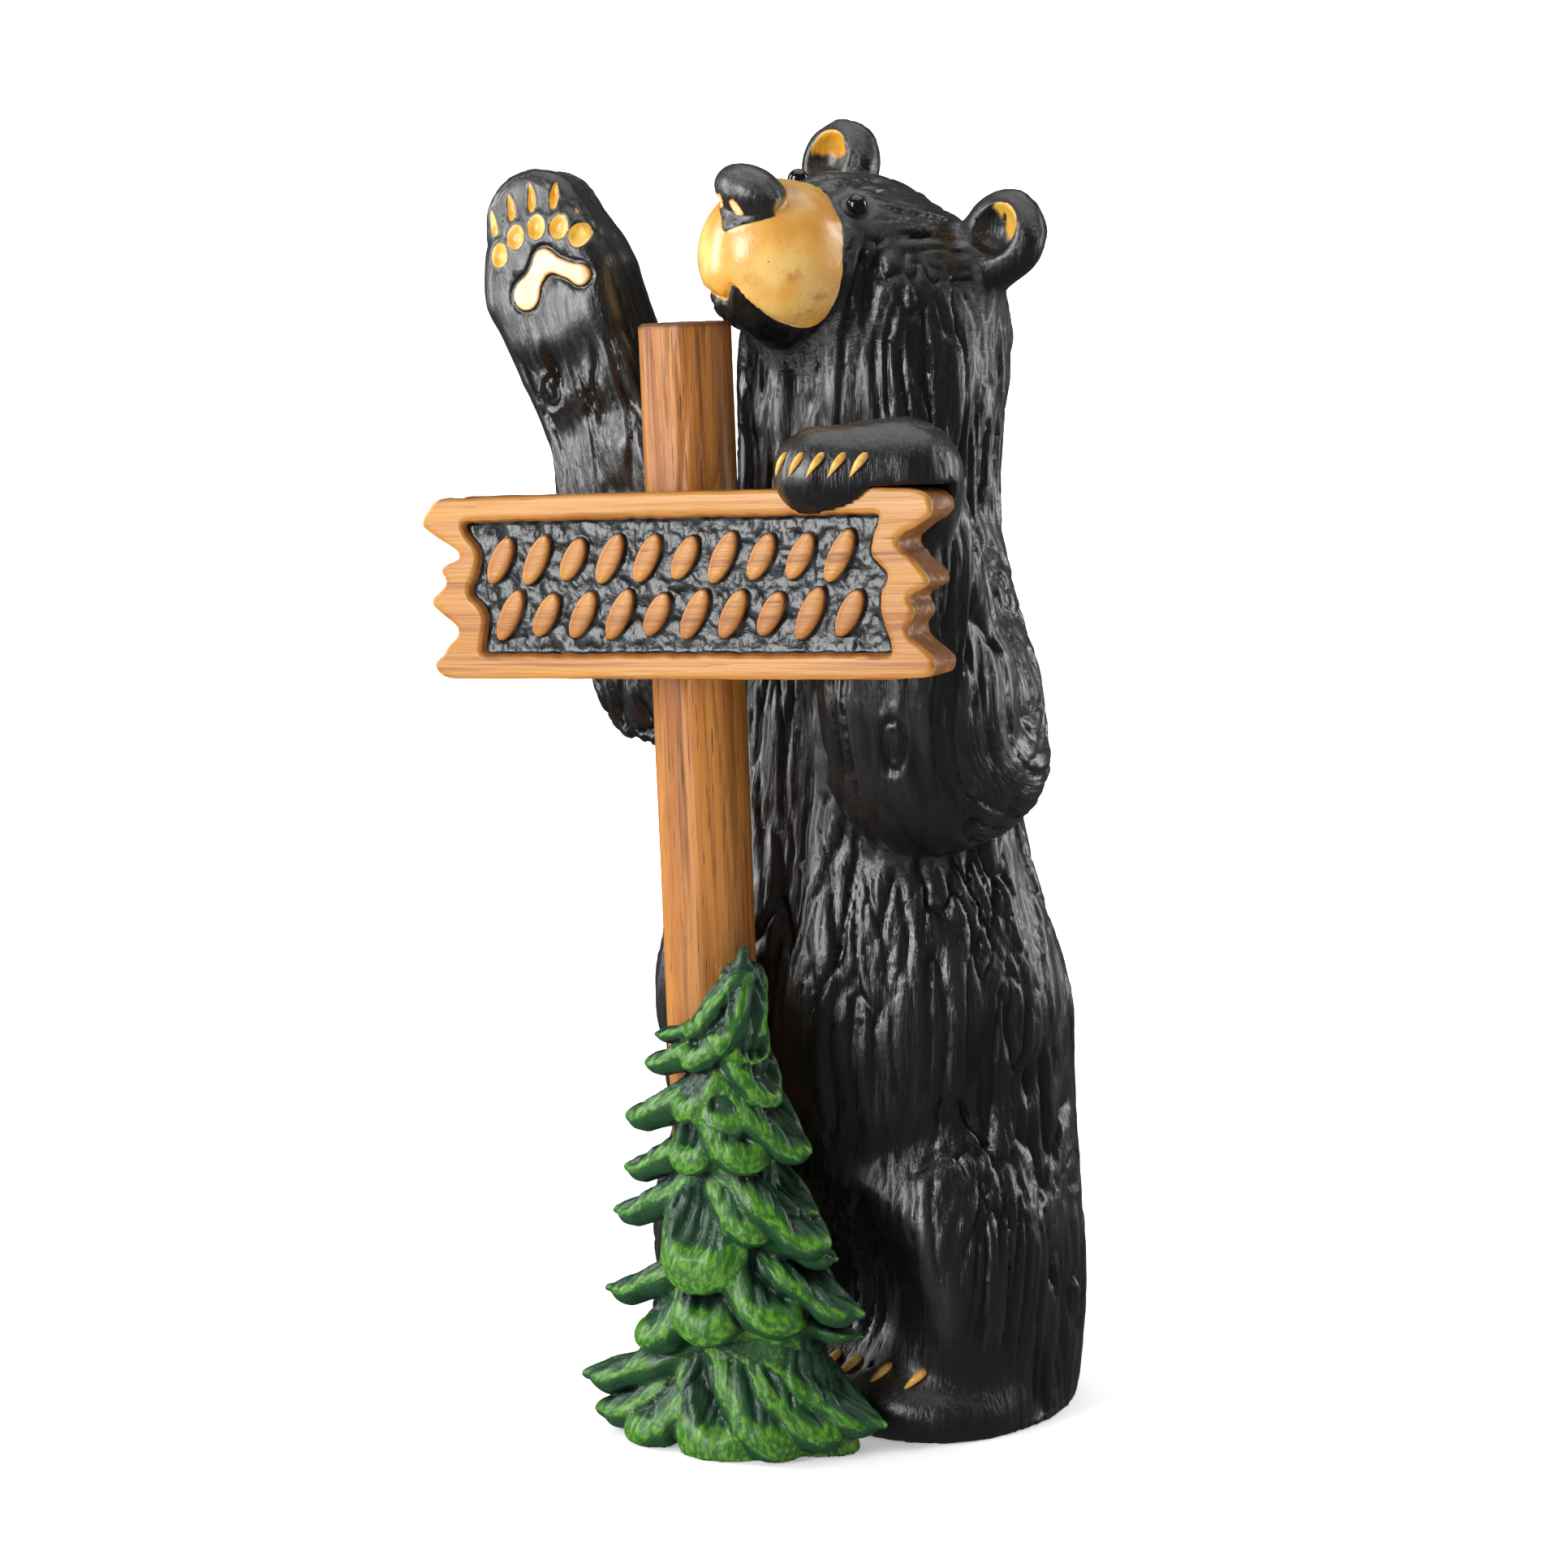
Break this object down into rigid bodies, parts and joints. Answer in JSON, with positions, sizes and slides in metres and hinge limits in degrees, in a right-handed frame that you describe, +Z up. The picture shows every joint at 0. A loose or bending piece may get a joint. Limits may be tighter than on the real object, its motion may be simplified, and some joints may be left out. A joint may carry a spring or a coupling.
{
  "type": "bear figurine",
  "caption": "Standing bear statue waving one paw, the other resting on a plank sign on a round post, with a small pine tree in front.",
  "frame": {"origin": "centre of the bear's flat base, on the floor", "axes": "+Z up; the bear and the sign face -Y; +X is the bear's left, the side of the paw that rests on the sign"},
  "size_m": [0.273, 0.24, 0.593],
  "materials": {
    "bear": "black painted cast resin, satin to gloss, with gold and ochre details",
    "post": "brown stained wood grain",
    "board": "orange tan painted plank with a dark grey hammered recess",
    "tree": "dark green painted cast resin with light green rims"
  },
  "bodies": {
    "root": {"bear": "bear", "sign_post": "post", "sign_board": "board", "pine_tree": "tree"}
  },
  "joints": []
}
